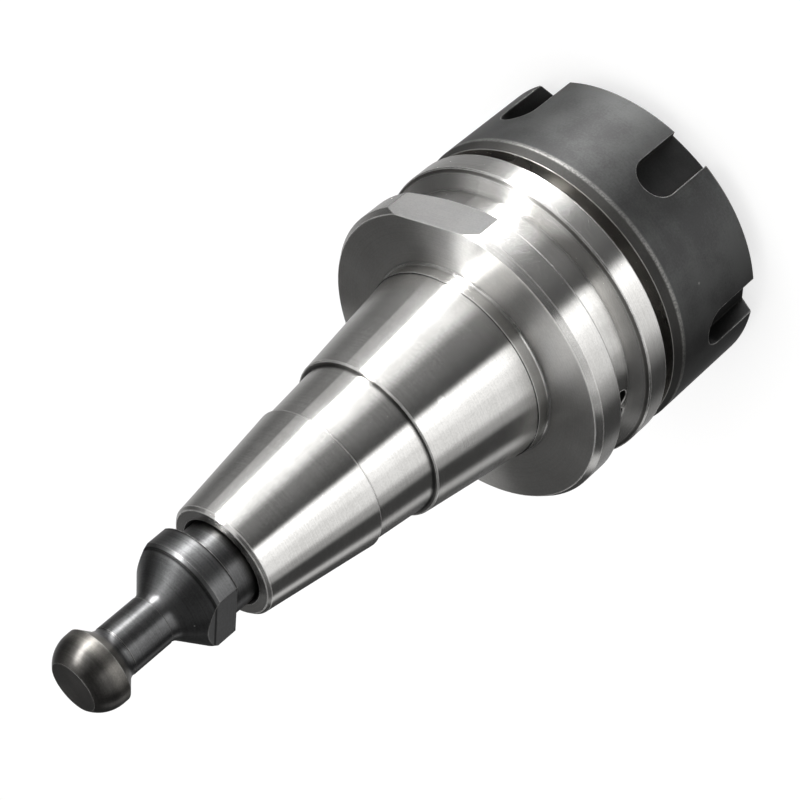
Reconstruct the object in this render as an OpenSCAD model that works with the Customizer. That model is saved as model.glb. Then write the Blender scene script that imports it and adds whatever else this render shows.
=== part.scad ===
// Collet chuck holder: steep-taper shank, gripper flange, slotted collet, clamping nut and pull stud.
// The turning axis is Z. The nut's front face lies on z = 0 and the pull stud points up.

/* [Taper shank] */
// Diameter of the taper on the gauge line
gauge_d = 31.75; // [31.75:0.01:31.8]
// Length of the taper from the gauge line to the small end
taper_len = 47.8; // [46:0.1:50]
// Diameter lost over each millimetre of taper, as 7 in 24
taper_ratio = 0.2917; // [0.28:0.0001:0.3]
// Distance from the gauge line to the relieved waist
waist_from = 18.55; // [14:0.05:22]
// Length of the relieved waist
waist_len = 9.9; // [4:0.1:14]
// Depth of the waist below the taper at its large end
waist_depth_large = 0.75; // [0.2:0.05:1.2]
// Depth of the waist below the taper at its small end
waist_depth_small = 0.4; // [0.2:0.05:1]
// Edge break at the two rims of the waist
waist_edge = 0.15; // [0.05:0.05:0.3]
// Edge break at the small end of the taper
taper_edge = 0.45; // [0.2:0.05:1]

/* [Flange] */
// Width of the flange from its back face to its front face
flange_w = 16; // [15:0.1:18]
// Distance from the front face to the gauge line
gauge_gap = 2.2; // [1.6:0.1:3.2]
// Height of the step at the gauge line above the taper
step_rise = 0.18; // [0.1:0.02:1]
// Fillet at the foot of the step
step_fillet = 0.5; // [0.2:0.1:1]
// Length along the axis of the bevel at the front rim
front_bevel_len = 1.05; // [0.5:0.05:1.5]
// Depth of the bevel at the front rim
front_bevel_depth = 0.7; // [0.3:0.05:1.2]
// Edge break at the back rim
back_edge = 0.5; // [0.3:0.1:1]
// Distance from the back face to the middle of the gripper groove
groove_from_back = 7.5; // [7:0.1:9]
// Depth of the gripper groove below the flange's rims
groove_depth = 2.85; // [2.4:0.05:3.2]
// Angle between the two flanks of the groove
groove_angle = 60; // [60:1:64]
// Width of the groove at the flange's outside diameter
groove_w = 6.76; // [6.5:0.02:7.4]
// Edge break at the groove's two rims
groove_edge = 0.15; // [0.05:0.05:0.4]
// Depth of the flat milled on the front rim
rim_flat_depth = 1.6; // [0.8:0.1:2.2]

/* [Balance holes] */
// Diameter of the holes drilled in the groove's floor
balance_hole_d = 3; // [2:0.1:3.2]
// Depth of the holes below the groove's floor
balance_hole_depth = 2.4; // [1:0.1:2.6]
// Direction of the first hole around the axis
balance_hole_from = -116.2; // [-150:0.1:-90]
// Angle from each hole to the next
balance_hole_step = 9.8; // [9:0.1:20]
// Number of holes
balance_hole_count = 2; // [1:1:4]

/* [Collet socket] */
// Half angle of the socket and of the collet's long taper
socket_half_angle = 8; // [7.5:0.1:8.5]
// Open space between the nut's lip and the nose of the holder when tight
nose_gap = 2.8; // [2.6:0.1:3.4]
// Length of the socket beyond the collet's back end
socket_past = 2.9; // [1.5:0.1:4]
// Step inward from the socket's small end to the tool bore
tool_bore_step = 1.25; // [0.5:0.05:3]
// Length of the tool bore
tool_bore_len = 12; // [6:0.5:13]
// Thickness of the nose's wall outside the collet's rim radius
nose_wall = 2.65; // [2.4:0.05:3.2]
// Depth of the neck between the thread and the flange
neck_depth = 0.6; // [0.4:0.1:1]
// Length of the neck between the thread and the flange
neck_len = 3; // [2.5:0.1:4]
// Edge break at the nose
nose_edge = 0.8; // [0.4:0.1:1]

/* [Collet] */
// Length of the collet
collet_len = 40; // [39:0.1:41]
// Largest diameter, at the rim behind the front cone
collet_rim_d = 33; // [32.8:0.1:33.1]
// Diameter of the collet's front face
collet_face_d = 26.8; // [26.4:0.1:27.2]
// Half angle of the front cone that the nut presses on
front_half_angle = 30; // [30:1:30]
// Distance from the nut's front face to the collet's front face
collet_recess = 0.8; // [0.5:0.1:1]
// Length of the rim's cylindrical land
collet_land = 0.45; // [0.3:0.05:0.6]
// Width of the extraction groove at its mouth
extraction_w = 3; // [2.8:0.1:3.2]
// Depth of the extraction groove below the rim
extraction_depth = 1.4; // [1.2:0.05:1.6]
// Diameter of the collet's bore
collet_bore_d = 12; // [6:0.5:16]
// Number of slits sawn from each end
slit_count = 8; // [6:1:8]
// Width of one slit
slit_w = 0.9; // [0.6:0.1:1.2]
// Length of metal left beyond the end of a slit
slit_bridge = 6; // [5:0.5:9]
// Edge break at the collet's back end and bore mouths
collet_edge = 0.6; // [0.3:0.1:0.8]

/* [Clamping nut] */
// Thickness of the nut's wall outside its thread
nut_wall = 5.8; // [5.4:0.05:6.4]
// Length of the nut
nut_len = 22.5; // [22:0.1:24]
// Open space between the nut and the flange when tight
nut_gap = 2.1; // [1.8:0.1:3]
// Length along the axis of the conical bevel at the front
nut_bevel_len = 3.35; // [2:0.05:3.5]
// Slope of the front bevel above the front face
nut_bevel_angle = 30; // [25:1:32]
// Rounding where the front bevel meets the outside
nut_front_edge = 0.3; // [0.1:0.05:0.6]
// Length along the axis of the bevel at the back
nut_back_len = 1.65; // [0.8:0.05:2]
// Depth of the bevel at the back
nut_back_depth = 0.6; // [0.3:0.05:1]
// Width of the ring that the nut's mouth leaves free round the collet's face
mouth_ring = 0.5; // [0.3:0.05:0.8]
// Number of wrench slots
slot_count = 6; // [4:1:8]
// Width of a wrench slot
slot_w = 6.6; // [6:0.1:7.4]
// Depth of a wrench slot
slot_depth = 3; // [2:0.1:3.2]
// Length of a wrench slot from the front face to its round end
slot_len = 14.8; // [12:0.1:16]
// Turn of the slots around the axis
slot_turn = 16.7; // [0:0.1:60]
// Play between the groove's front wall and the extraction lip
lip_play = 0.5; // [0.3:0.05:0.8]
// Thickness of the extraction lip
lip_w = 1.3; // [1:0.1:1.5]
// Reach of the lip into the collet's groove beyond the collet's rim
lip_reach = 0.8; // [0.5:0.05:0.9]

/* [Pull stud] */
// Diameter of the stud's head
head_d = 11.6; // [11:0.1:12.4]
// Diameter of the flat at the end of the head's dome
head_end_d = 7.8; // [6:0.1:9]
// Length of the head from its back rim to its end
head_len = 5.15; // [4.5:0.05:6.5]
// Length of the head's widest part
head_land = 0.8; // [0.4:0.1:2]
// Diameter of the neck
stud_neck_d = 7.7; // [7:0.1:8.4]
// Depth of the relief where the neck runs into its two fillets
neck_relief = 0.08; // [0.04:0.02:0.2]
// Distance from the collar's back face to the head's back rim
grip_len = 18.1; // [17:0.05:20]
// Diameter of the collar
collar_d = 16.86; // [15.5:0.02:17.6]
// Length of the collar's cylinder
collar_len = 3.3; // [2.5:0.1:5]
// Slope of the cone between collar and neck
stud_cone_angle = 45; // [40:1:50]
// Slope of the head's underside
head_under_angle = 45; // [40:1:50]
// Depth of the edge break at the collar's front rim
collar_edge = 0.4; // [0.2:0.05:0.8]
// Length along the axis of the edge break at the collar's front rim
collar_edge_len = 0.65; // [0.3:0.05:1]
// Distance between the two wrench flats
wrench_flats = 13.3; // [12.5:0.1:14.5]
// Direction of the wrench flats around the axis
wrench_turn = 66.8; // [0:0.1:180]
// Step outward from the thread to the pilot that centres the stud
pilot_step = 0.45; // [0.3:0.05:1]
// Distance that the collar stands off the shank's end
pilot_show = 3.95; // [3:0.05:5]
// Depth of the counterbore that takes the pilot
pilot_depth = 6; // [4:0.1:8]
// Diameter of the stud's thread
stud_thread_d = 12; // [10:0.1:13]
// Pitch of the stud's thread, which its tapping drill is smaller by
stud_pitch = 1.75; // [1.5:0.05:2]
// Length of the stud's threaded end
stud_thread_len = 16; // [12:0.5:18]

/* [Clearances] */
// Radial clearance of the nut's thread on the nose
thread_clear = 0.05; // [0.02:0.01:0.08]
// Gap between the collet and the cones it seats on
seat_clear = 0.05; // [0.03:0.01:0.08]
// Radial clearance of the pilot in its counterbore
pilot_clear = 0.05; // [0.02:0.01:0.08]
// Radial clearance of the stud's thread in the shank
stud_clear = 0.05; // [0.02:0.01:0.08]
// Radial clearance of the collet's rim in the nut
rim_clear = 0.25; // [0.2:0.05:0.4]

/* [Hidden] */

round_fn = 96;
arc_steps = 6;
cut = 1; // how far a cutter stands past the face it opens
run_out_depth = 1.1; // free space for the tool at the end of the nut's thread
run_out_len = 2.4;
mouth_edge = 0.5; // countersink at the counterbore and at the socket
front_relief = 0.9; // room between the collet's rim and the nut's wall
neck_fillet = 2; // blend of the stud's neck into its cone and its head
head_edge = 0.5; // bevel at the back rim of the stud's head
tap_run_out = 2; // thread cut deeper than the stud reaches
thread_edge = 1; // bevel where a thread starts
lip_cut = 0.2; // how far the lip's bore runs past the lip on each side
lip_blend = 0.05; // how far it runs past the lip's round edge, so the two meet cleanly
point_angle = 118; // angle of a drill's point

// Places along the axis, counted up from the nut's front face
flange_back_z = nut_len + nut_gap;
flange_front_z = flange_back_z + flange_w;
groove_z = flange_back_z + groove_from_back;
gauge_z = flange_front_z + gauge_gap;
shank_end_z = gauge_z + taper_len;
waist_z = gauge_z + waist_from;
pilot_seat_z = shank_end_z - pilot_depth;
collar_z = shank_end_z + pilot_show;
head_z = collar_z + grip_len;
collet_end_z = collet_recess + collet_len;
socket_end_z = collet_end_z + socket_past;
tool_bore_end_z = socket_end_z + tool_bore_len;

// Radii that several pieces share
rim_r = collet_rim_d / 2;
nose_thread_r = rim_r + nose_wall;
nut_r = nose_thread_r + thread_clear + nut_wall;
flange_r = nut_r; // the flange and the nut are flush
groove_floor_r = flange_r - groove_depth;
step_r = gauge_d / 2 + step_rise;
pilot_r = stud_thread_d / 2 + pilot_step;
rim_z = collet_recess + (rim_r - collet_face_d / 2) / tan(front_half_angle);
extraction_z = rim_z + collet_land;
taper_start_z = extraction_z + extraction_w;
lip_z = extraction_z + lip_play;
lip_end_z = lip_z + lip_w;
nose_z = lip_end_z + nose_gap;
lip_offset = lip_reach + rim_clear;

// Radius of the steep taper at a height
function shank_r(z) = gauge_d / 2 - (z - gauge_z) * taper_ratio / 2;
// Radius of the collet's long taper at a height
function collet_r(z) = rim_r - rim_clear - (z - taper_start_z) * tan(socket_half_angle);
// Radius of the holder's socket, one seat clearance outside the collet
function socket_r(z) = collet_r(z) + seat_clear / cos(socket_half_angle);
// Radius of the nut's front cone, one seat clearance outside the collet
function nut_cone_r(z) = collet_face_d / 2 + (z - collet_recess) * tan(front_half_angle)
    + seat_clear / cos(front_half_angle);
// Height at which the nut's front cone has a radius
function nut_cone_z(r) = collet_recess
    + (r - collet_face_d / 2 - seat_clear / cos(front_half_angle)) / tan(front_half_angle);
// Points on an arc, from one angle to the other
function arc(cx, cy, r, a0, a1, n = arc_steps) =
    [for (i = [0:n]) let (a = a0 + (a1 - a0) * i / n) [cx + r * cos(a), cy + r * sin(a)]];

module turned(points) {
    rotate_extrude($fn = round_fn) polygon(points);
}

module holder_body() {
    groove_half = groove_w / 2;
    floor_half = groove_half - (flange_r - groove_floor_r) * tan(groove_angle / 2);
    waist_end_z = waist_z + waist_len;
    neck_r = nose_thread_r - neck_depth;
    neck_z = flange_back_z - neck_len;
    bore_r = pilot_r + pilot_clear;
    way_r = (stud_thread_d - stud_pitch) / 2;
    tool_r = socket_r(socket_end_z) - tool_bore_step;
    tapped_r = stud_thread_d / 2;
    tapped_z = pilot_seat_z - stud_thread_len - tap_run_out;
    color("gainsboro") difference() {
        turned(concat(
            [[socket_r(nose_z) + mouth_edge, nose_z],
             [nose_thread_r - nose_edge, nose_z],
             [nose_thread_r, nose_z + nose_edge],
             [nose_thread_r, neck_z],
             [neck_r, neck_z + neck_depth]],
            arc(neck_r + neck_depth, flange_back_z - neck_depth, neck_depth, 180, 90),
            [[flange_r - back_edge, flange_back_z],
             [flange_r, flange_back_z + back_edge],
             [flange_r, groove_z - groove_half - groove_edge],
             [flange_r - groove_edge, groove_z - groove_half + groove_edge * tan(groove_angle / 2)],
             [groove_floor_r, groove_z - floor_half],
             [groove_floor_r, groove_z + floor_half],
             [flange_r - groove_edge, groove_z + groove_half - groove_edge * tan(groove_angle / 2)],
             [flange_r, groove_z + groove_half + groove_edge],
             [flange_r, flange_front_z - front_bevel_len],
             [flange_r - front_bevel_depth, flange_front_z]],
            arc(step_r + step_fillet, flange_front_z + step_fillet, step_fillet, 270, 180),
            [[step_r, gauge_z],
             [shank_r(gauge_z), gauge_z],
             [shank_r(waist_z - waist_edge), waist_z - waist_edge],
             [shank_r(waist_z) - waist_edge, waist_z],
             [shank_r(waist_z) - waist_depth_large, waist_z],
             [shank_r(waist_end_z) - waist_depth_small, waist_end_z],
             [shank_r(waist_end_z) - waist_edge, waist_end_z],
             [shank_r(waist_end_z + waist_edge), waist_end_z + waist_edge],
             [shank_r(shank_end_z - taper_edge), shank_end_z - taper_edge],
             [shank_r(shank_end_z - taper_edge) - taper_edge, shank_end_z],
             [bore_r + mouth_edge, shank_end_z],
             [bore_r, shank_end_z - mouth_edge],
             [bore_r, pilot_seat_z],
             [tapped_r, pilot_seat_z],
             [tapped_r, tapped_z],
             [way_r, tapped_z - (tapped_r - way_r)],
             [way_r, tool_bore_end_z + (tool_r - way_r) / tan(point_angle / 2)],
             [tool_r, tool_bore_end_z],
             [tool_r, socket_end_z],
             [socket_r(socket_end_z), socket_end_z],
             [socket_r(nose_z + mouth_edge), nose_z + mouth_edge]]));
        rim_flat();
        for (i = [0:balance_hole_count - 1])
            rotate([0, 0, balance_hole_from + i * balance_hole_step])
                translate([groove_floor_r - balance_hole_depth, 0, groove_z])
                rotate([0, 90, 0])
                cylinder(d = balance_hole_d, h = balance_hole_depth + cut, $fn = round_fn);
    }
}

// Flat milled on one side of the rim in front of the groove
module rim_flat() {
    translate([flange_r - rim_flat_depth, -flange_r, groove_z])
        cube([flange_r, 2 * flange_r, flange_front_z - groove_z + cut]);
}

module pull_stud() {
    collar_r = collar_d / 2;
    neck_r = stud_neck_d / 2;
    cone_z = collar_z + collar_len + collar_edge_len;
    cone_r = collar_r - collar_edge;
    relief_r = neck_r - neck_relief;
    neck_z = cone_z + (cone_r - relief_r) * tan(stud_cone_angle);
    blend = neck_fillet * tan(stud_cone_angle / 2);
    head_r = head_d / 2;
    under_z = head_z - (head_r - head_edge - relief_r) * tan(head_under_angle);
    under_blend = neck_fillet * tan(head_under_angle / 2);
    end_r = head_end_d / 2;
    dome_z = head_z + head_edge + head_land;
    dome_len = head_z + head_len - dome_z;
    dome_r = (pow(head_r - end_r, 2) + pow(dome_len, 2)) / (2 * (head_r - end_r));
    dome_angle = asin(dome_len / dome_r);
    thread_r = stud_thread_d / 2 - stud_clear;
    color("dimgray") difference() {
        turned(concat(
            [[0, pilot_seat_z - stud_thread_len],
             [thread_r - thread_edge, pilot_seat_z - stud_thread_len],
             [thread_r, pilot_seat_z - stud_thread_len + thread_edge],
             [thread_r, pilot_seat_z],
             [pilot_r, pilot_seat_z],
             [pilot_r, collar_z],
             [collar_r, collar_z],
             [collar_r, collar_z + collar_len],
             [cone_r, cone_z]],
            arc(relief_r + neck_fillet, neck_z + blend, neck_fillet, 180 + stud_cone_angle, 180),
            [[neck_r, neck_z + blend + neck_relief],
             [neck_r, under_z - under_blend - neck_relief]],
            arc(relief_r + neck_fillet, under_z - under_blend, neck_fillet, 180, 180 - head_under_angle),
            [[head_r - head_edge, head_z],
             [head_r, head_z + head_edge]],
            arc(head_r - dome_r, dome_z, dome_r, 0, dome_angle, 12),
            [[0, head_z + head_len]]));
        for (side = [0, 180])
            rotate([0, 0, wrench_turn + side])
                translate([wrench_flats / 2, -collar_r, collar_z - cut])
                cube([collar_r, collar_d, neck_z - collar_z + cut]);
    }
}

module collet() {
    face_r = collet_face_d / 2;
    floor_r = rim_r - extraction_depth;
    bore_r = collet_bore_d / 2;
    end_r = collet_r(collet_end_z - collet_edge);
    back_slope = (collet_r(taper_start_z) - floor_r) * 0.7;
    slit_len = collet_len - slit_bridge;
    color("silver") difference() {
        turned([[bore_r + collet_edge, collet_recess],
            [face_r, collet_recess],
            [rim_r, rim_z],
            [rim_r, extraction_z],
            [floor_r, extraction_z],
            [floor_r, taper_start_z - back_slope],
            [collet_r(taper_start_z), taper_start_z],
            [end_r, collet_end_z - collet_edge],
            [end_r - collet_edge, collet_end_z],
            [bore_r + collet_edge, collet_end_z],
            [bore_r, collet_end_z - collet_edge],
            [bore_r, collet_recess + collet_edge]]);
        for (i = [0:slit_count - 1]) {
            rotate([0, 0, 360 * i / slit_count])
                slit(collet_recess - cut, slit_len + cut);
            rotate([0, 0, 360 * (i + 0.5) / slit_count])
                slit(collet_end_z - slit_len, slit_len + cut);
        }
    }
}

// Saw cut from the bore out through the wall
module slit(z, len) {
    translate([0, -slit_w / 2, z]) cube([rim_r + cut, slit_w, len]);
}

module clamping_nut() {
    mouth_r = collet_face_d / 2 + mouth_ring;
    bevel_r = nut_r - nut_front_edge;
    flat_r = bevel_r - nut_bevel_len / tan(nut_bevel_angle);
    relief_r = rim_r + front_relief;
    cone_end_z = nut_cone_z(rim_r + seat_clear);
    lip_bore_r = rim_r + rim_clear;
    lip_r = rim_r - lip_reach;
    thread_r = nose_thread_r + thread_clear;
    run_out_r = thread_r + run_out_depth;
    run_out_end_z = lip_end_z + run_out_len;
    color("dimgray") difference() {
        turned([[mouth_r, 0],
            [flat_r, 0],
            [bevel_r, nut_bevel_len],
            [nut_r, nut_bevel_len + nut_front_edge],
            [nut_r, nut_len - nut_back_len],
            [nut_r - nut_back_depth, nut_len],
            [thread_r + thread_edge, nut_len],
            [thread_r, nut_len - thread_edge],
            [thread_r, run_out_end_z + (run_out_r - thread_r)],
            [run_out_r, run_out_end_z],
            [run_out_r, lip_end_z],
            [lip_r, lip_end_z],
            [lip_r, lip_z],
            [relief_r, lip_z],
            [relief_r, cone_end_z],
            [nut_cone_r(cone_end_z), cone_end_z],
            [mouth_r, nut_cone_z(mouth_r)]]);
        // The lip's bore is off centre, so the collet snaps in on one side
        translate([-lip_offset, 0, lip_z - lip_cut])
            cylinder(r = lip_bore_r + lip_blend, h = lip_w + 2 * lip_cut, $fn = round_fn);
        for (i = [0:slot_count - 1])
            rotate([0, 0, slot_turn + 360 * i / slot_count]) wrench_slot();
    }
}

// Slot from the front with a flat floor and a round end
module wrench_slot() {
    floor_r = nut_r - slot_depth;
    end_z = slot_len - slot_w / 2;
    translate([floor_r, 0, end_z]) rotate([0, 90, 0])
        cylinder(d = slot_w, h = slot_depth + cut, $fn = round_fn);
    translate([floor_r, -slot_w / 2, -cut]) cube([slot_depth + cut, slot_w, end_z + cut]);
}

holder_body();
pull_stud();
collet();
clamping_nut();
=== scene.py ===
import math

import bpy
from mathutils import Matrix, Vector


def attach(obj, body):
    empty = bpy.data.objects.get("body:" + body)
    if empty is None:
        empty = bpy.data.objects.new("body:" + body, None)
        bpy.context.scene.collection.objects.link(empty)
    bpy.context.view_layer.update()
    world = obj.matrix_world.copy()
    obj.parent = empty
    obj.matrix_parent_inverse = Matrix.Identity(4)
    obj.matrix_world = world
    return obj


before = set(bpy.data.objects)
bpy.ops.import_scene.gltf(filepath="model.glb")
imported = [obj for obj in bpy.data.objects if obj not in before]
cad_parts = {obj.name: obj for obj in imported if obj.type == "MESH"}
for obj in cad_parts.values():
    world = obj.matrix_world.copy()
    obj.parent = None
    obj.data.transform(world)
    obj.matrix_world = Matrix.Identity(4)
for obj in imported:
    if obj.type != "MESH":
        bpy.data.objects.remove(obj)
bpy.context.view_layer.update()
bpy.ops.object.select_all(action="DESELECT")
print("loaded", sorted(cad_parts))

mm = 0.001


# camera, where the photograph was taken from

camera = {
    "place": (192.76, -212.24, 222.69),     # mm
    "turn": (-47.409, 41.205, -106.802),    # degrees, XYZ order
    "azimuth": -47.75,                      # where it stands round the axis, degrees
    "lens": 105.555,
    "sensor": 36,
    "clip": (0.01, 20),                     # m
}


def makeCamera(c):
    data = bpy.data.cameras.new("camera")
    data.sensor_width = c["sensor"]
    data.lens = c["lens"]
    data.clip_start, data.clip_end = c["clip"]
    obj = bpy.data.objects.new("camera", data)
    obj.location = Vector(c["place"]) * mm
    obj.rotation_euler = [math.radians(a) for a in c["turn"]]
    bpy.context.scene.collection.objects.link(obj)
    bpy.context.scene.camera = obj
    print("camera ready")


# node helpers

colourSockets = {"a": 6, "b": 7, "result": 2}       # where a Mix node has its colours


def addNode(tree, kind, **values):
    node = tree.nodes.new(kind)
    for key, value in values.items():
        setattr(node, key, value)
    return node


def join(tree, source, target):
    tree.links.new(source, target)


def feed(tree, target, value):      # a number, a colour or another node's output
    if isinstance(value, bpy.types.NodeSocket):
        join(tree, value, target)
    else:
        target.default_value = value


def maths(tree, operation, a, b=None, c=None, clamp=False):
    node = addNode(tree, "ShaderNodeMath", operation=operation, use_clamp=clamp)
    for socket, value in zip(node.inputs, (a, b, c)):
        if value is not None:
            feed(tree, socket, value)
    return node.outputs[0]


def rise(tree, value, low, high, fromValue=0.0, toValue=1.0):
    node = addNode(tree, "ShaderNodeMapRange", interpolation_type="SMOOTHSTEP")
    feed(tree, node.inputs["Value"], value)
    feed(tree, node.inputs["From Min"], low)
    feed(tree, node.inputs["From Max"], high)
    feed(tree, node.inputs["To Min"], fromValue)
    feed(tree, node.inputs["To Max"], toValue)
    return node.outputs[0]


def band(tree, value, start, full, end, gone):      # 1 from full to end
    return maths(tree, "MULTIPLY", rise(tree, value, start, full), rise(tree, value, end, gone, 1.0, 0.0))


def mixNumber(tree, factor, a, b):
    node = addNode(tree, "ShaderNodeMix", data_type="FLOAT")
    feed(tree, node.inputs["Factor"], factor)
    feed(tree, node.inputs["A"], a)
    feed(tree, node.inputs["B"], b)
    return node.outputs["Result"]


def mixColour(tree, factor, a, b):
    node = addNode(tree, "ShaderNodeMix", data_type="RGBA")
    feed(tree, node.inputs["Factor"], factor)
    feed(tree, node.inputs[colourSockets["a"]], a)
    feed(tree, node.inputs[colourSockets["b"]], b)
    return node.outputs[colourSockets["result"]]


def objectCoords(tree):
    return addNode(tree, "ShaderNodeTexCoord").outputs["Object"]


def splitAxes(tree, vector):
    xyz = addNode(tree, "ShaderNodeSeparateXYZ")
    join(tree, vector, xyz.inputs[0])
    return tuple(xyz.outputs)


def inSteps(tree, size):        # object coordinates, where one step is that many mm
    scaled = addNode(tree, "ShaderNodeVectorMath", operation="SCALE")
    join(tree, objectCoords(tree), scaled.inputs[0])
    join(tree, maths(tree, "DIVIDE", 1 / mm, size), scaled.inputs["Scale"])
    return scaled.outputs[0]


def axisDistance(tree):         # mm
    across = addNode(tree, "ShaderNodeVectorMath", operation="MULTIPLY")
    join(tree, objectCoords(tree), across.inputs[0])
    across.inputs[1].default_value = (1 / mm, 1 / mm, 0)
    length = addNode(tree, "ShaderNodeVectorMath", operation="LENGTH")
    join(tree, across.outputs[0], length.inputs[0])
    return length.outputs["Value"]


def noiseOn(tree, vector, detail, scale=1.0, roughness=0.5):
    noise = addNode(tree, "ShaderNodeTexNoise", noise_dimensions="3D")
    join(tree, vector, noise.inputs["Vector"])
    noise.inputs["Scale"].default_value = scale
    noise.inputs["Detail"].default_value = detail
    noise.inputs["Roughness"].default_value = roughness
    return noise.outputs["Fac"]


def newGroup(name, inputs, outputs):        # the inputs are numbers, given with what they are unless set
    group = bpy.data.node_groups.new(name, "ShaderNodeTree")
    for label, value in inputs.items():
        socket = group.interface.new_socket(label, in_out="INPUT", socket_type="NodeSocketFloat")
        socket.default_value = value
    for label, kind in outputs.items():
        group.interface.new_socket(label, in_out="OUTPUT", socket_type=kind)
    return group, addNode(group, "NodeGroupInput"), addNode(group, "NodeGroupOutput")


def useGroup(tree, group, values):
    node = addNode(tree, "ShaderNodeGroup", node_tree=group)
    for key, value in values.items():
        feed(tree, node.inputs[key], value)
    return node


# studio: softboxes that the metal mirrors, lamps for the floor and its shadow

openLeft = (-190, -186)     # an edge past the line behind the part, where azimuths start again
openRight = (190, 186)
openLow = (-95, -90)        # an edge past straight down
openHigh = (100, 95)        # and one past straight up

softboxes = {
    # azimuths count from the camera, elevations from level; each edge is where it starts and where it is full
    "key": {"left": (20, 41), "right": (102, 48), "low": (-34, -22), "high": (86, 66), "level": 1.45},
    "keyLow": {"left": (22, 50), "right": (106, 56), "low": openLow, "high": (-22, -34), "level": 1.3},
    "keyTail": {"left": (70, 92), "right": (132, 90), "low": openLow, "high": (60, 30), "level": 0.14},
    "keyFront": {"left": (-22, 26), "right": (132, 60), "low": openLow, "high": (60, 30), "level": 0.29},
    "core": {"left": (54, 59), "right": (69, 63), "low": (-16, -4), "high": (50, 36), "level": 47.0},
    "coreLow": {"left": (54, 59), "right": (69, 63), "low": openLow, "high": (-4, -16), "level": 16.0},
    "nearEdge": {"left": (-91, -85), "right": (-15, -23), "low": openLow, "high": (42, 18), "level": 0.55},
    "nearMiddle": {"left": (-78, -68), "right": (-15, -23), "low": (-72, -52), "high": (42, 18),
                   "level": 0.8},
    "nearFull": {"left": (-53, -45), "right": (-15, -23), "low": (-72, -52), "high": (42, 18),
                 "level": 0.42},
    "nearRim": {"left": (-40, -32), "right": (-15, -23), "low": openLow, "high": (42, 18), "level": 0.75},
    "strip": {"left": (-138, -127), "right": (-115, -123), "low": (-38, -16), "high": (24, 8), "level": 0.95},
    "side": {"left": (104, 140), "right": openRight, "low": openLow, "high": (22, 0), "level": 0.1},
    "sideFar": {"left": (116, 166), "right": openRight, "low": openLow, "high": (22, 0), "level": 0.42},
    "sideLow": {"left": (98, 112), "right": (182, 172), "low": openLow, "high": (-19, -31), "level": 0.3},
    "back": {"left": (158, 182), "right": openRight, "low": openLow, "high": (10, -8), "level": 0.3},
    "backEdge": {"left": openLeft, "right": (-170, -178), "low": openLow, "high": (10, -8), "level": 0.5},
    "backWrap": {"left": openLeft, "right": (-170, -179), "low": openLow, "high": (22, 0), "level": 0.33},
    "backLow": {"left": openLeft, "right": (-146, -156), "low": openLow, "high": (-25, -34), "level": 0.75},
    "ceiling": {"left": openLeft, "right": openRight, "low": (8, 30), "high": openHigh, "level": 0.05},
    "overheadLeft": {"left": (126, 148), "right": (180, 158), "low": (44, 60), "high": (88, 76),
                     "level": 2.2},
    "overheadRight": {"left": (-182, -165), "right": (-142, -156), "low": (49, 63), "high": (90, 80),
                      "level": 6.0},
    "overheadSide": {"left": (84, 100), "right": (138, 122), "low": (34, 46), "high": (76, 62), "level": 0.9},
}
studio = {
    "dark": 0.085,      # what the metal mirrors between the softboxes
    "fill": 0.6,        # level of the air for matt surfaces
    "white": 1.0,       # what the camera sees
}
lamps = {
    # azimuths count from the camera; distance and sides are in m
    "key": {"azimuth": 42, "elevation": 46, "distance": 0.8, "width": 0.8, "height": 0.8, "power": 3.4},
    "near": {"azimuth": -48, "elevation": 40, "distance": 0.8, "width": 0.8, "height": 0.8, "power": 1.8},
    "top": {"azimuth": 180, "elevation": 74, "distance": 0.9, "width": 1.0, "height": 1.0, "power": 2.6},
}
lampAim = Vector((0, 0, 0.055))     # the point that the lamps face
floorLook = {
    "radius": 3000,     # mm
    "sides": 96,
    "drop": 0.02,       # how far under the part it lies, so that the two don't touch
    "colour": (0.36, 0.36, 0.358),
    "glow": 0.7,        # what it gives off by itself where the camera sees it
}


def makeSoftboxGroup():
    edges = {"Left": "Azimuth", "Right": "Azimuth", "Low": "Elevation", "High": "Elevation"}
    inputs = {"Azimuth": 0.0, "Elevation": 0.0, "Level": 1.0}
    for edge in edges:
        inputs[edge + " Start"] = 0.0
        inputs[edge + " Full"] = 1.0
    group, start, end = newGroup("softbox", inputs, {"Light": "NodeSocketFloat"})
    light = start.outputs["Level"]
    for edge, source in edges.items():
        value = start.outputs[source]
        dark = start.outputs[edge + " Start"]
        full = start.outputs[edge + " Full"]
        if edge in ("Right", "High"):       # this edge is full below its start
            inside = rise(group, value, full, dark, 1.0, 0.0)
        else:
            inside = rise(group, value, dark, full)
        light = maths(group, "MULTIPLY", light, inside)
    join(group, light, end.inputs["Light"])
    return group


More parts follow.
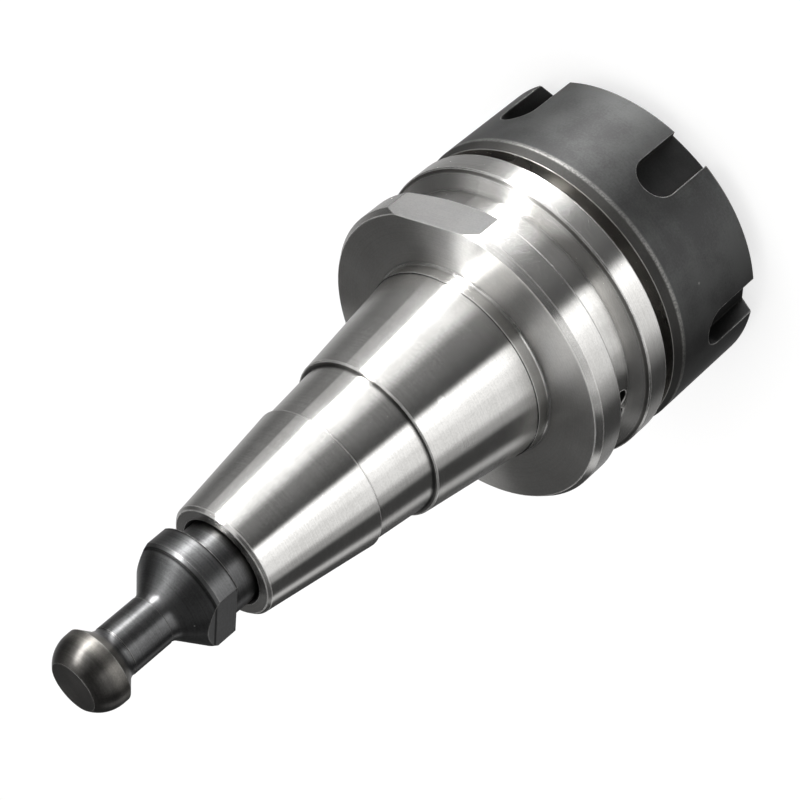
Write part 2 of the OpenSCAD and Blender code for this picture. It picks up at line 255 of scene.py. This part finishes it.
def makeWorld(boxes, s, turn):
    world = bpy.data.worlds.new("studio")
    bpy.context.scene.world = world
    world.use_nodes = True
    world.cycles.sampling_method = "NONE"       # so that a ray always reads the level for its own kind
    tree = world.node_tree
    tree.nodes.clear()
    out = addNode(tree, "ShaderNodeOutputWorld")
    back = addNode(tree, "ShaderNodeBackground")
    direction = addNode(tree, "ShaderNodeTexCoord")
    turned = addNode(tree, "ShaderNodeVectorRotate", rotation_type="Z_AXIS")
    join(tree, direction.outputs["Generated"], turned.inputs["Vector"])
    turned.inputs["Angle"].default_value = math.radians(-turn)
    x, y, z = splitAxes(tree, turned.outputs[0])
    azimuth = maths(tree, "DEGREES", maths(tree, "ARCTAN2", y, x))
    elevation = maths(tree, "DEGREES", maths(tree, "ARCSINE", z))
    group = makeSoftboxGroup()
    total = s["dark"]
    for name, box in boxes.items():
        values = {"Azimuth": azimuth, "Elevation": elevation, "Level": box["level"]}
        for edge in ("left", "right", "low", "high"):
            values[edge.title() + " Start"], values[edge.title() + " Full"] = box[edge]
        node = useGroup(tree, group, values)
        node.label = name
        total = maths(tree, "ADD", node.outputs["Light"], total)
    path = addNode(tree, "ShaderNodeLightPath")
    seen = maths(tree, "ADD", path.outputs["Is Camera Ray"], path.outputs["Is Transmission Ray"], clamp=True)
    plain = mixNumber(tree, seen, s["fill"], s["white"])
    join(tree, mixNumber(tree, path.outputs["Is Glossy Ray"], plain, total), back.inputs["Strength"])
    join(tree, back.outputs[0], out.inputs[0])
    print("world ready")


def makeLamp(name, lamp):
    data = bpy.data.lights.new(name + "Lamp", "AREA")
    data.shape = "RECTANGLE"
    data.size = lamp["width"]
    data.size_y = lamp["height"]
    data.energy = lamp["power"]
    obj = bpy.data.objects.new(name + "Lamp", data)
    a = math.radians(camera["azimuth"] + lamp["azimuth"])
    e = math.radians(lamp["elevation"])
    away = Vector((math.cos(a) * math.cos(e), math.sin(a) * math.cos(e), math.sin(e)))
    obj.location = lampAim + away * lamp["distance"]
    obj.rotation_euler = (-away).to_track_quat("-Z", "Y").to_euler()
    obj.visible_glossy = False      # the softboxes stand for it in the metal
    bpy.context.scene.collection.objects.link(obj)


def newMaterial(name):
    material = bpy.data.materials.new(name)
    material.use_nodes = True
    tree = material.node_tree
    tree.nodes.clear()
    return material, tree


def makeFloor(f):
    bpy.ops.mesh.primitive_circle_add(vertices=f["sides"], radius=f["radius"] * mm, fill_type="NGON")
    floor = bpy.context.object
    floor.name = "studioFloor"
    material, tree = newMaterial("paleFloor")
    out = addNode(tree, "ShaderNodeOutputMaterial")
    matt = addNode(tree, "ShaderNodeBsdfDiffuse")
    matt.inputs["Color"].default_value = (*f["colour"], 1)
    glow = addNode(tree, "ShaderNodeEmission")
    path = addNode(tree, "ShaderNodeLightPath")
    seen = maths(tree, "ADD", path.outputs["Is Camera Ray"], path.outputs["Is Glossy Ray"])
    seen = maths(tree, "ADD", seen, path.outputs["Is Transmission Ray"], clamp=True)
    join(tree, maths(tree, "MULTIPLY", seen, f["glow"]), glow.inputs["Strength"])
    both = addNode(tree, "ShaderNodeAddShader")
    join(tree, matt.outputs[0], both.inputs[0])
    join(tree, glow.outputs[0], both.inputs[1])
    side = addNode(tree, "ShaderNodeNewGeometry")
    clear = addNode(tree, "ShaderNodeBsdfTransparent")
    oneWay = addNode(tree, "ShaderNodeMixShader")       # clear from below, so the nut's front can be seen
    join(tree, side.outputs["Backfacing"], oneWay.inputs["Fac"])
    join(tree, both.outputs[0], oneWay.inputs[1])
    join(tree, clear.outputs[0], oneWay.inputs[2])
    join(tree, oneWay.outputs[0], out.inputs["Surface"])
    floor.data.materials.append(material)
    floor.location.z = -f["drop"] * mm
    floor.visible_glossy = False    # the metal mirrors the painted studio instead
    floor.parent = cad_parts["clamping_nut"]       # the part stands on the nut, unscrewed too
    bpy.ops.object.select_all(action="DESELECT")
    print("floor ready")


# shared effects

turningLook = {"detail": 2.5, "roughness": 0.6}
grainLook = {
    "fineDetail": 3.0,
    "broadDetail": 4.0,
    "ragged": 0.02,             # how uneven a nick's outline is
    "nickEdge": (0.09, 0.06),   # of the cells' distance: where a nick starts and is full
    "nickChance": (0.7, 0.75),  # cells above this have one
}
edgeLook = {
    "bevelSamples": 6,
    "openSamples": 8,
    "least": 0.004,             # how far the rounded normal turns before an edge shows wear
    "scale": 1100.0,            # of the noise that breaks the wear up
    "detail": 3.0,
    "holes": (0.42, 0.62),
    "corner": (0.9, 0.6),       # openness at which a corner's painted shade starts and is full
    "open": (0.8, 0.95),        # openness at which an edge can wear
}


def makeTurningGroup(t):
    # fine rings round the axis: along a cylinder, outwards on a face, both on a cone
    group, start, end = newGroup("turningMarks", {"Spacing": 0.2, "Drift": 0.3}, {"Marks": "NodeSocketFloat"})
    x, y, z = splitAxes(group, objectCoords(group))
    fade = maths(group, "COSINE", maths(group, "ARCTAN2", y, x))        # they fade in and out round the part
    rings = addNode(group, "ShaderNodeCombineXYZ")
    join(group, maths(group, "DIVIDE", axisDistance(group), start.outputs["Spacing"]), rings.inputs["X"])
    along = maths(group, "DIVIDE", z, mm)
    join(group, maths(group, "DIVIDE", along, start.outputs["Spacing"]), rings.inputs["Y"])
    join(group, maths(group, "MULTIPLY", fade, start.outputs["Drift"]), rings.inputs["Z"])
    marks = noiseOn(group, rings.outputs[0], t["detail"], roughness=t["roughness"])
    join(group, marks, end.inputs["Marks"])
    return group


def makeGrainGroup(g):
    group, start, end = newGroup("grain", {"Size": 0.3, "Patch": 6.0, "Apart": 3.0},
                                 {name: "NodeSocketFloat" for name in ("Fine", "Broad", "Nick")})
    fine = noiseOn(group, inSteps(group, start.outputs["Size"]), g["fineDetail"])
    broad = noiseOn(group, inSteps(group, start.outputs["Patch"]), g["broadDetail"])
    cells = addNode(group, "ShaderNodeTexVoronoi", voronoi_dimensions="3D")
    join(group, inSteps(group, start.outputs["Apart"]), cells.inputs["Vector"])
    cells.inputs["Scale"].default_value = 1.0
    chance = addNode(group, "ShaderNodeSeparateColor")
    join(group, cells.outputs["Color"], chance.inputs[0])
    ragged = maths(group, "MULTIPLY_ADD", broad, g["ragged"], cells.outputs["Distance"])
    nick = rise(group, ragged, *g["nickEdge"])
    nick = maths(group, "MULTIPLY", nick, rise(group, chance.outputs[0], *g["nickChance"]))
    join(group, fine, end.inputs["Fine"])
    join(group, broad, end.inputs["Broad"])
    join(group, nick, end.inputs["Nick"])
    return group


def makeEdgeGroup(e):
    # how close an edge is, for wear and painted highlight; how shut in a corner is, for painted shade; and
    # the normal of a surface whose edges are rounded
    group, start, end = newGroup(
        "edgeWearGlintAndShade", {"Width": 0.15, "Sharpness": 0.12, "Broken": 0.5, "Reach": 0.8},
        {"Wear And Glint": "NodeSocketFloat", "Corner": "NodeSocketFloat", "Normal": "NodeSocketVector"})
    rounded = addNode(group, "ShaderNodeBevel", samples=e["bevelSamples"])
    join(group, maths(group, "MULTIPLY", start.outputs["Width"], mm), rounded.inputs["Radius"])
    surface = addNode(group, "ShaderNodeNewGeometry")
    dot = addNode(group, "ShaderNodeVectorMath", operation="DOT_PRODUCT")
    join(group, rounded.outputs[0], dot.inputs[0])
    join(group, surface.outputs["Normal"], dot.inputs[1])
    bent = maths(group, "SUBTRACT", 1.0, dot.outputs["Value"])
    near = rise(group, bent, e["least"], start.outputs["Sharpness"])
    holes = rise(group, noiseOn(group, objectCoords(group), e["detail"], e["scale"]), *e["holes"])
    kept = maths(group, "SUBTRACT", 1.0, maths(group, "MULTIPLY", holes, start.outputs["Broken"]))
    hollow = addNode(group, "ShaderNodeAmbientOcclusion", samples=e["openSamples"])
    join(group, maths(group, "MULTIPLY", start.outputs["Reach"], mm), hollow.inputs["Distance"])
    kept = maths(group, "MULTIPLY", kept, rise(group, hollow.outputs["AO"], *e["open"]))
    join(group, maths(group, "MULTIPLY", near, kept), end.inputs["Wear And Glint"])
    join(group, rise(group, hollow.outputs["AO"], *e["corner"]), end.inputs["Corner"])
    join(group, rounded.outputs[0], end.inputs["Normal"])
    return group


# finishes

finishShared = {
    "streakTurn": 0.25,             # of a full turn, so that highlights run along the axis
    "drift": 0.4,                   # how much the turning marks change round the part
    "sharpness": 0.05,              # how far the rounded normal turns where an edge is worn all over
    "toneRange": (0.38, 0.62),      # mixed noise at which the colour is deep and light
    "holes": (0.45, 0.6),           # fine grain that breaks a zone up
    "flatFace": (0.9996, 0.9999),   # cosines at which a face starts to look the way of its zone and does
    "fineRelief": 0.35,             # height of the grain beside the turning marks
    # painted shade: the colour that closed-in corners and creases are darkened towards
    "cornerShade": (0.03, 0.029, 0.027),
}
finishes = {
    # sizes in mm; a zone's heights are where it starts, is full, ends and is gone, and so are its distances r
    "groundSteel": {
        "light": (0.67, 0.662, 0.645), "deep": (0.57, 0.562, 0.545), "zoneTone": (0.93, 1.06),
        "wornAndGlint": (0.9, 0.89, 0.87), "wornRoughness": 0.4, "wornMetal": 0.5,
        "roughness": 0.33, "spread": 0.04, "anisotropic": 1.0,
        "markSpacing": 0.16, "markDepth": 0.0007, "markTone": 0.3, "grainTone": 0.3,
        "grainSize": 0.3, "patch": 7.0, "edge": 0.28, "broken": 0.3, "reach": 1.0, "cornerShade": 0.9,
        "nickApart": 9.0, "nick": (0.9, 0.89, 0.87),
        "zones": [
            # gripper rims and groove, ground taper
            {"z": (24, 24.5, 40.45, 40.5), "colour": None, "roughness": 0.25},
            {"z": (40.62, 40.66, 101, 102), "colour": None, "roughness": 0.21},
            # painted shade: dark lines at the groove's edges
            {"z": (28.75, 28.85, 29.0, 29.15), "colour": (0.22, 0.215, 0.205), "roughness": 0.4},
            {"z": (35.1, 35.2, 35.35, 35.45), "colour": (0.22, 0.215, 0.205), "roughness": 0.4},
            # painted shade inside the drilled holes
            {"z": (25, 26, 38, 39), "r": (16, 16.5, 21.9, 22.1), "colour": (0.02, 0.02, 0.02),
             "roughness": 0.6},
            # milled flat
            {"z": (32, 33, 40.58, 40.6), "facing": (1, 0, 0), "colour": (0.82, 0.815, 0.8),
             "roughness": 0.5},
        ],
    },
    "colletSteel": {
        "light": (0.6, 0.59, 0.57), "deep": (0.5, 0.49, 0.47), "zoneTone": (0.9, 1.08),
        "wornAndGlint": (0.8, 0.79, 0.77), "wornRoughness": 0.5, "wornMetal": 0.6,
        "roughness": 0.3, "spread": 0.06, "anisotropic": 0.9,
        "markSpacing": 0.12, "markDepth": 0.001, "markTone": 0.5, "grainTone": 0.2,
        "grainSize": 0.3, "patch": 5.0, "edge": 0.12, "broken": 0.2, "reach": 0.6, "cornerShade": 0.8,
        "nickApart": 6.0, "nick": (0.8, 0.79, 0.77),
        "zones": [],
    },
    "blackOxideNut": {
        "light": (0.08, 0.081, 0.08), "deep": (0.052, 0.052, 0.052), "zoneTone": (0.8, 1.15),
        "wornAndGlint": (0.3, 0.296, 0.285), "wornRoughness": 0.5, "wornMetal": 0.5,
        "roughness": 0.52, "spread": 0.08, "anisotropic": 0.2,
        "markSpacing": 0.2, "markDepth": 0.0012, "markTone": 0.1, "grainTone": 0.22,
        "grainSize": 0.3, "patch": 8.0, "edge": 0.24, "broken": 0.6, "reach": 1.2, "cornerShade": 0.5,
        "nickApart": 5.0, "nick": (0.2, 0.198, 0.19),
        "zones": [
            # back bevel, the worn line beside it, bare back face
            {"z": (20.83, 20.86, 24, 25), "colour": (0.052, 0.051, 0.049), "roughness": 0.62},
            {"z": (20.2, 20.6, 20.9, 21.2), "colour": (0.2, 0.198, 0.19), "roughness": 0.45,
             "broken": 0.6},
            {"z": (22.42, 22.46, 24, 25), "colour": (0.42, 0.405, 0.385), "roughness": 0.26},
            # painted shade inside the wrench slots
            {"z": (-2, -1, 15, 15.2), "r": (20, 20.5, 24.6, 24.9), "colour": (0.03, 0.03, 0.03),
             "roughness": 0.6},
        ],
    },
    "blackOxideStud": {
        "light": (0.122, 0.123, 0.124), "deep": (0.08, 0.08, 0.081), "zoneTone": (0.8, 1.15),
        "wornAndGlint": (0.3, 0.296, 0.288), "wornRoughness": 0.4, "wornMetal": 0.8,
        "roughness": 0.34, "spread": 0.06, "anisotropic": 0.45,
        "markSpacing": 0.24, "markDepth": 0.0025, "markTone": 0.35, "grainTone": 0.3,
        "grainSize": 0.25, "patch": 4.0, "edge": 0.2, "broken": 0.35, "reach": 1.8, "cornerShade": 0.9,
        "nickApart": 2.6, "nick": (0.7, 0.69, 0.67),
        "zones": [
            # head with a lighter worn rim, and its dome painted darker as painted shade
            {"z": (111.5, 112.2, 120, 121), "colour": (0.15, 0.143, 0.132), "roughness": 0.4},
            {"z": (114.2, 115.6, 120, 121), "colour": (0.075, 0.072, 0.068), "roughness": 0.36},
            # painted shade: dark lines at the cone and at the collar's lower edge
            {"z": (98.25, 98.4, 98.6, 98.8), "colour": (0.02, 0.02, 0.02), "roughness": 0.5},
            {"z": (94.3, 94.5, 94.7, 94.95), "r": (7.9, 8.2, 9, 9.5), "colour": (0.02, 0.02, 0.02),
             "roughness": 0.5},
        ],
    },
}


def facing(tree, way, closeness):       # 1 on flat faces that look that way
    coords = addNode(tree, "ShaderNodeTexCoord")
    dot = addNode(tree, "ShaderNodeVectorMath", operation="DOT_PRODUCT")
    join(tree, coords.outputs["Normal"], dot.inputs[0])
    dot.inputs[1].default_value = way
    return rise(tree, dot.outputs["Value"], *closeness)


def insideZone(tree, zone, s, fine):
    height = maths(tree, "DIVIDE", splitAxes(tree, objectCoords(tree))[2], mm)
    inside = band(tree, height, *zone["z"])
    if "facing" in zone:
        inside = maths(tree, "MULTIPLY", inside, facing(tree, zone["facing"], s["flatFace"]))
    if "r" in zone:
        inside = maths(tree, "MULTIPLY", inside, band(tree, axisDistance(tree), *zone["r"]))
    if "broken" in zone:
        whole = maths(tree, "MULTIPLY_ADD", rise(tree, fine, *s["holes"]), -zone["broken"], 1.0)
        inside = maths(tree, "MULTIPLY", inside, whole)
    return inside


def makeFinish(name, f, s, groups):
    material, tree = newMaterial(name)
    out = addNode(tree, "ShaderNodeOutputMaterial")
    metal = addNode(tree, "ShaderNodeBsdfPrincipled")
    metal.inputs["Anisotropic"].default_value = f["anisotropic"]
    metal.inputs["Anisotropic Rotation"].default_value = s["streakTurn"]
    tangent = addNode(tree, "ShaderNodeTangent", direction_type="RADIAL", axis="Z")
    join(tree, tangent.outputs[0], metal.inputs["Tangent"])
    marks = useGroup(tree, groups["turning"], {"Spacing": f["markSpacing"], "Drift": s["drift"]})
    grain = useGroup(tree, groups["grain"],
                     {"Size": f["grainSize"], "Patch": f["patch"], "Apart": f["nickApart"]})
    edge = useGroup(tree, groups["edge"], {"Width": f["edge"], "Sharpness": s["sharpness"],
                                           "Broken": f["broken"], "Reach": f["reach"]})
    fine = grain.outputs["Fine"]
    broad = grain.outputs["Broad"]
    wearAndGlint = edge.outputs["Wear And Glint"]

    tone = maths(tree, "MULTIPLY", broad, 1 - f["markTone"] - f["grainTone"])
    tone = maths(tree, "MULTIPLY_ADD", marks.outputs["Marks"], f["markTone"], tone)
    tone = maths(tree, "MULTIPLY_ADD", fine, f["grainTone"], tone)
    tone = rise(tree, tone, *s["toneRange"])
    base = mixColour(tree, tone, (*f["deep"], 1), (*f["light"], 1))
    rough = f["roughness"]
    for zone in f["zones"]:
        inside = insideZone(tree, zone, s, fine)
        if zone["colour"]:
            deep, light = [(*[c * k for c in zone["colour"]], 1) for k in f["zoneTone"]]
            base = mixColour(tree, inside, base, mixColour(tree, tone, deep, light))
        rough = mixNumber(tree, inside, rough, zone["roughness"])
    # edges lighter, partly real wear and partly a painted highlight along convex edges
    base = mixColour(tree, wearAndGlint, base, (*f["wornAndGlint"], 1))
    base = mixColour(tree, grain.outputs["Nick"], base, (*f["nick"], 1))
    # painted shade: corners and creases darkened by how closed-in they are
    cornerShade = maths(tree, "MULTIPLY", edge.outputs["Corner"], f["cornerShade"])
    base = mixColour(tree, cornerShade, base, (*s["cornerShade"], 1))
    rough = mixNumber(tree, wearAndGlint, rough, f["wornRoughness"])
    patches = maths(tree, "SUBTRACT", broad, 0.5)       # from their mean
    rough = maths(tree, "MULTIPLY_ADD", patches, f["spread"] * 2, rough)

    relief = maths(tree, "MULTIPLY_ADD", fine, s["fineRelief"], marks.outputs["Marks"])
    bump = addNode(tree, "ShaderNodeBump")
    bump.inputs["Strength"].default_value = 1.0
    bump.inputs["Distance"].default_value = f["markDepth"] * mm
    join(tree, relief, bump.inputs["Height"])
    join(tree, edge.outputs["Normal"], bump.inputs["Normal"])
    join(tree, base, metal.inputs["Base Color"])
    join(tree, rough, metal.inputs["Roughness"])
    join(tree, mixNumber(tree, wearAndGlint, 1.0, f["wornMetal"]), metal.inputs["Metallic"])
    join(tree, bump.outputs[0], metal.inputs["Normal"])
    join(tree, metal.outputs[0], out.inputs["Surface"])
    return material


# thread ridge on the nose, inside the nut at rest

noseThread = {
    "root": 19.1,       # mm, just under the nose's surface
    "crest": 19.93,
    "pitch": 1.5,
    "from": 12.4,       # heights between which it runs
    "to": 20.9,
    "crestFlat": 0.19,
    "rootFlat": 1.15,   # width of the ridge where it leaves the nose
    "steps": 96,        # round one turn
    "merge": 0.001,
    "smooth": 30,       # degrees
}


def makeNoseThread(t, look):
    turns = (t["to"] - t["from"] - t["rootFlat"]) / t["pitch"]
    bpy.ops.object.select_all(action="DESELECT")
    bpy.ops.mesh.primitive_plane_add(size=1 * mm, location=(0, 0, 0))
    ridge = bpy.context.object
    ridge.name = "noseThread"
    middle = t["from"] + t["rootFlat"] / 2
    half = {t["root"]: t["rootFlat"] / 2, t["crest"]: t["crestFlat"] / 2}
    for vertex in ridge.data.vertices:      # the plane's corners become the ridge's profile
        r = t["crest"] if vertex.co.x > 0 else t["root"]
        up = half[r] if vertex.co.y > 0 else -half[r]
        vertex.co = (r * mm, 0, (middle + up) * mm)
    screw = ridge.modifiers.new("turns", "SCREW")
    screw.angle = math.radians(360 * turns)
    screw.screw_offset = turns * t["pitch"] * mm
    screw.steps = screw.render_steps = int(t["steps"] * turns)
    screw.iterations = 1
    bpy.ops.object.modifier_apply(modifier="turns")
    bpy.ops.object.mode_set(mode="EDIT")
    bpy.ops.mesh.select_all(action="SELECT")
    bpy.ops.mesh.remove_doubles(threshold=t["merge"] * mm)
    bpy.ops.mesh.normals_make_consistent(inside=False)
    bpy.ops.object.mode_set(mode="OBJECT")
    bpy.ops.object.shade_smooth_by_angle(angle=math.radians(t["smooth"]))
    ridge.data.materials.append(look)
    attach(ridge, "holder")
    bpy.ops.object.select_all(action="DESELECT")
    print("nose thread ready")


nodeLooks = {
    "holder_body": "groundSteel",
    "collet": "colletSteel",
    "pull_stud": "blackOxideStud",
    "clamping_nut": "blackOxideNut",
}

makeCamera(camera)
makeWorld(softboxes, studio, camera["azimuth"])
for name, lamp in lamps.items():
    makeLamp(name, lamp)
print("lamps ready")
makeFloor(floorLook)
groups = {
    "turning": makeTurningGroup(turningLook),
    "grain": makeGrainGroup(grainLook),
    "edge": makeEdgeGroup(edgeLook),
}
looks = {name: makeFinish(name, f, finishShared, groups) for name, f in finishes.items()}
for node, look in nodeLooks.items():
    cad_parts[node].data.materials[0] = looks[look]
print("finishes ready")
makeNoseThread(noseThread, looks["groundSteel"])

bpy.context.scene.view_settings.view_transform = "Standard"
